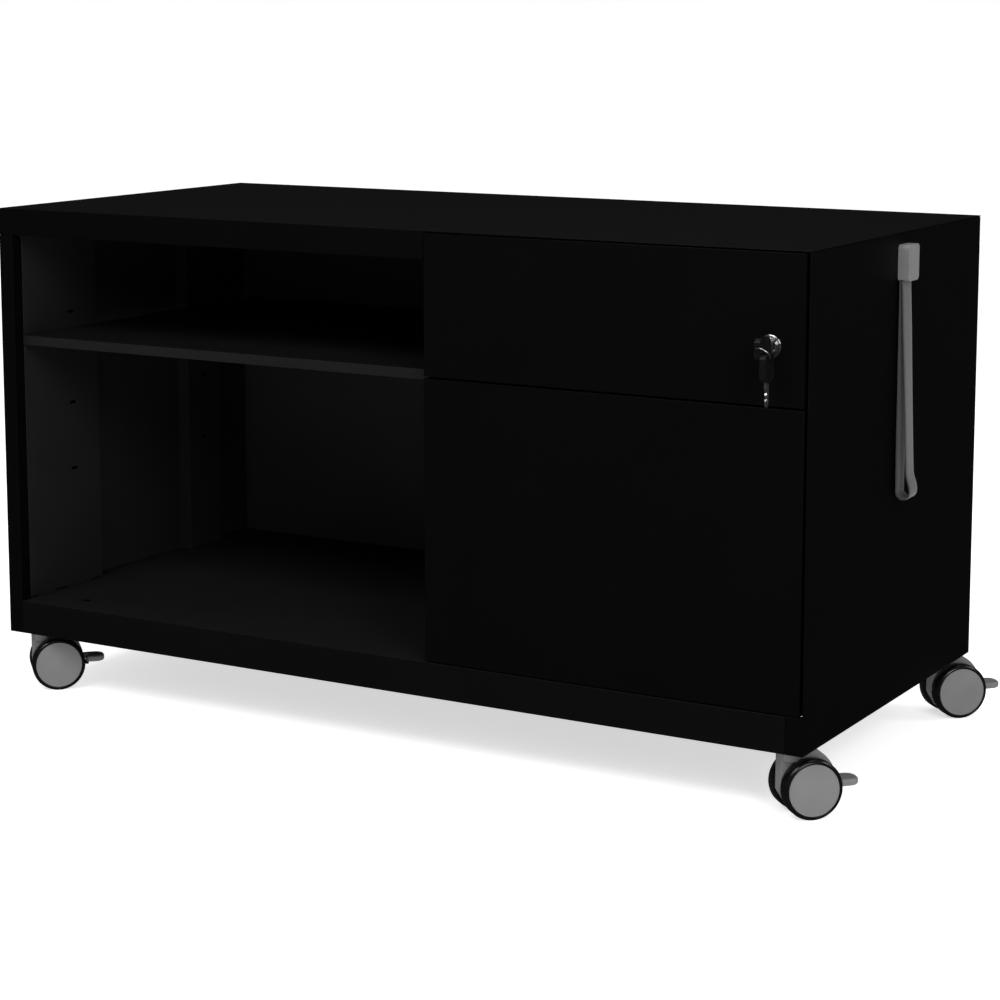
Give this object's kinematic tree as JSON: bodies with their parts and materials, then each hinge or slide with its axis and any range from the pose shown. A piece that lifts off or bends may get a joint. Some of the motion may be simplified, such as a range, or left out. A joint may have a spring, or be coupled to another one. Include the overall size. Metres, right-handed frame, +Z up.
{
  "type": "rolling pedestal cabinet",
  "caption": "Low sheet-steel cabinet on braked twin-wheel castors: an open bay with a shelf beside a shallow and a deep drawer under one cam lock, and a strap loop handle on the side.",
  "frame": {"origin": "on the floor, under the middle of the whole object's bounding box, castor pedals and keys included", "axes": "+X to the right as seen from the drawer side, -Y to the front, +Z up"},
  "size_m": [0.9281, 0.4807, 0.506],
  "materials": {
    "black_powder_coat": "satin black powder coat",
    "zinc_steel": "bright zinc plated",
    "lock_chrome": "polished",
    "key_black_plastic": "satin moulded",
    "grey_plastic": "satin moulded",
    "grey_webbing": "tight woven webbing",
    "wheel_black": "smooth satin"
  },
  "bodies": {
    "cabinet": {"left_side_panel": "black_powder_coat", "right_side_panel": "black_powder_coat", "left_inner_lining": "black_powder_coat", "right_inner_lining": "black_powder_coat", "top_panel": "black_powder_coat", "base_panel": "black_powder_coat", "back_panel": "black_powder_coat", "divider_panel": "black_powder_coat", "shelf": "black_powder_coat", "shelf_clip_front_left": "zinc_steel", "shelf_clip_front_right": "zinc_steel", "shelf_clip_rear_left": "zinc_steel", "shelf_clip_rear_right": "zinc_steel", "upper_slide_cabinet_rail_left": "zinc_steel", "upper_slide_cabinet_rail_right": "zinc_steel", "lower_slide_cabinet_rail_left": "zinc_steel", "lower_slide_cabinet_rail_right": "zinc_steel", "strap_holder": "grey_plastic", "front_left_castor_stem": "zinc_steel", "front_right_castor_stem": "zinc_steel", "rear_left_castor_stem": "zinc_steel", "rear_right_castor_stem": "zinc_steel"},
    "upper_drawer": {"upper_drawer_front": "black_powder_coat", "upper_drawer_tray": "black_powder_coat", "upper_slide_drawer_rail_left": "zinc_steel", "upper_slide_drawer_rail_right": "zinc_steel", "lock_barrel": "lock_chrome"},
    "lower_drawer": {"lower_drawer_front": "black_powder_coat", "lower_drawer_tray": "black_powder_coat", "lower_slide_drawer_rail_left": "zinc_steel", "lower_slide_drawer_rail_right": "zinc_steel"},
    "lower_slide_middle": {"lower_slide_middle_member_left": "zinc_steel", "lower_slide_middle_member_right": "zinc_steel"},
    "lock_plug": {"lock_plug": "lock_chrome", "lock_cam": "zinc_steel"},
    "key": {"key": "key_black_plastic"},
    "spare_key": {"spare_key": "key_black_plastic"},
    "lock_bar": {"lock_bar": "zinc_steel"},
    "strap": {"strap_loop": "grey_webbing"},
    "front_left_castor": {"front_left_castor_housing": "grey_plastic", "front_left_castor_axle": "zinc_steel"},
    "front_left_outer_wheel": {"front_left_castor_outer_wheel": "wheel_black"},
    "front_left_inner_wheel": {"front_left_castor_inner_wheel": "wheel_black"},
    "front_left_pedal": {"front_left_castor_brake_pedal": "grey_plastic"},
    "front_right_castor": {"front_right_castor_housing": "grey_plastic", "front_right_castor_axle": "zinc_steel"},
    "front_right_outer_wheel": {"front_right_castor_outer_wheel": "wheel_black"},
    "front_right_inner_wheel": {"front_right_castor_inner_wheel": "wheel_black"},
    "front_right_pedal": {"front_right_castor_brake_pedal": "grey_plastic"},
    "rear_left_castor": {"rear_left_castor_housing": "grey_plastic", "rear_left_castor_axle": "zinc_steel"},
    "rear_left_outer_wheel": {"rear_left_castor_outer_wheel": "wheel_black"},
    "rear_left_inner_wheel": {"rear_left_castor_inner_wheel": "wheel_black"},
    "rear_left_pedal": {"rear_left_castor_brake_pedal": "grey_plastic"},
    "rear_right_castor": {"rear_right_castor_housing": "grey_plastic", "rear_right_castor_axle": "zinc_steel"},
    "rear_right_outer_wheel": {"rear_right_castor_outer_wheel": "wheel_black"},
    "rear_right_inner_wheel": {"rear_right_castor_inner_wheel": "wheel_black"},
    "rear_right_pedal": {"rear_right_castor_brake_pedal": "grey_plastic"}
  },
  "joints": [
    {"name": "upper_drawer_slide", "type": "slide", "parent": "cabinet", "child": "upper_drawer", "axis": [0, -1, 0], "range_m": [0, 0.25]},
    {"name": "lower_drawer_slide", "type": "slide", "parent": "cabinet", "child": "lower_drawer", "axis": [0, -1, 0], "range_m": [0, 0.35]},
    {"name": "lower_slide_extend", "type": "slide", "parent": "cabinet", "child": "lower_slide_middle", "axis": [0, -1, 0], "range_m": [0, 0.175]},
    {"name": "lock_turn", "type": "hinge", "parent": "upper_drawer", "child": "lock_plug", "pos_m": [0.4003, -0.2065, 0.4223], "axis": [0, -1, 0], "range_deg": [0, 90]},
    {"name": "lock_bar_lift", "type": "slide", "parent": "cabinet", "child": "lock_bar", "axis": [0, 0, 1], "range_m": [0, 0.01]},
    {"name": "key_withdraw", "type": "slide", "parent": "lock_plug", "child": "key", "axis": [0, -1, 0], "range_m": [0, 0.024]},
    {"name": "spare_key_hang", "type": "hinge", "parent": "key", "child": "spare_key", "pos_m": [0.4003, -0.2306, 0.4158], "axis": [0, -1, 0], "range_deg": [-90, 0]},
    {"name": "strap_swing", "type": "hinge", "parent": "cabinet", "child": "strap", "pos_m": [0.44025, 0.0059, 0.45845], "axis": [0, -1, 0], "range_deg": [0, 90]},
    {"name": "front_left_castor_swivel", "type": "hinge", "parent": "cabinet", "child": "front_left_castor", "pos_m": [-0.441, -0.1831, 0.05], "axis": [0, 0, 1], "continuous": true},
    {"name": "front_left_outer_wheel_spin", "type": "hinge", "parent": "front_left_castor", "child": "front_left_outer_wheel", "pos_m": [-0.43018, -0.17228, 0.0275], "axis": [-0.7071, 0.7071, 0], "continuous": true},
    {"name": "front_left_inner_wheel_spin", "type": "hinge", "parent": "front_left_castor", "child": "front_left_inner_wheel", "pos_m": [-0.43018, -0.17228, 0.0275], "axis": [-0.7071, 0.7071, 0], "continuous": true},
    {"name": "front_left_pedal_press", "type": "hinge", "parent": "front_left_castor", "child": "front_left_pedal", "pos_m": [-0.41463, -0.15673, 0.0305], "axis": [-0.7071, 0.7071, 0], "range_deg": [0, 15]},
    {"name": "front_right_castor_swivel", "type": "hinge", "parent": "cabinet", "child": "front_right_castor", "pos_m": [0.414, -0.1831, 0.05], "axis": [0, 0, 1], "continuous": true},
    {"name": "front_right_outer_wheel_spin", "type": "hinge", "parent": "front_right_castor", "child": "front_right_outer_wheel", "pos_m": [0.42482, -0.17228, 0.0275], "axis": [-0.7071, 0.7071, 0], "continuous": true},
    {"name": "front_right_inner_wheel_spin", "type": "hinge", "parent": "front_right_castor", "child": "front_right_inner_wheel", "pos_m": [0.42482, -0.17228, 0.0275], "axis": [-0.7071, 0.7071, 0], "continuous": true},
    {"name": "front_right_pedal_press", "type": "hinge", "parent": "front_right_castor", "child": "front_right_pedal", "pos_m": [0.44038, -0.15673, 0.0305], "axis": [-0.7071, 0.7071, 0], "range_deg": [0, 15]},
    {"name": "rear_left_castor_swivel", "type": "hinge", "parent": "cabinet", "child": "rear_left_castor", "pos_m": [-0.441, 0.1901, 0.05], "axis": [0, 0, 1], "continuous": true},
    {"name": "rear_left_outer_wheel_spin", "type": "hinge", "parent": "rear_left_castor", "child": "rear_left_outer_wheel", "pos_m": [-0.43018, 0.20092, 0.0275], "axis": [-0.7071, 0.7071, 0], "continuous": true},
    {"name": "rear_left_inner_wheel_spin", "type": "hinge", "parent": "rear_left_castor", "child": "rear_left_inner_wheel", "pos_m": [-0.43018, 0.20092, 0.0275], "axis": [-0.7071, 0.7071, 0], "continuous": true},
    {"name": "rear_left_pedal_press", "type": "hinge", "parent": "rear_left_castor", "child": "rear_left_pedal", "pos_m": [-0.41463, 0.21648, 0.0305], "axis": [-0.7071, 0.7071, 0], "range_deg": [0, 15]},
    {"name": "rear_right_castor_swivel", "type": "hinge", "parent": "cabinet", "child": "rear_right_castor", "pos_m": [0.414, 0.1901, 0.05], "axis": [0, 0, 1], "continuous": true},
    {"name": "rear_right_outer_wheel_spin", "type": "hinge", "parent": "rear_right_castor", "child": "rear_right_outer_wheel", "pos_m": [0.42482, 0.20092, 0.0275], "axis": [-0.7071, 0.7071, 0], "continuous": true},
    {"name": "rear_right_inner_wheel_spin", "type": "hinge", "parent": "rear_right_castor", "child": "rear_right_inner_wheel", "pos_m": [0.42482, 0.20092, 0.0275], "axis": [-0.7071, 0.7071, 0], "continuous": true},
    {"name": "rear_right_pedal_press", "type": "hinge", "parent": "rear_right_castor", "child": "rear_right_pedal", "pos_m": [0.44038, 0.21648, 0.0305], "axis": [-0.7071, 0.7071, 0], "range_deg": [0, 15]}
  ],
  "couplings": [
    {"joint": "lower_slide_extend", "follows": "lower_drawer_slide", "ratio": 0.5},
    {"joint": "lock_bar_lift", "follows": "lock_turn", "m_per_rad": 0.0063662},
    {"joint": "spare_key_hang", "follows": "lock_turn", "ratio": -1}
  ]
}
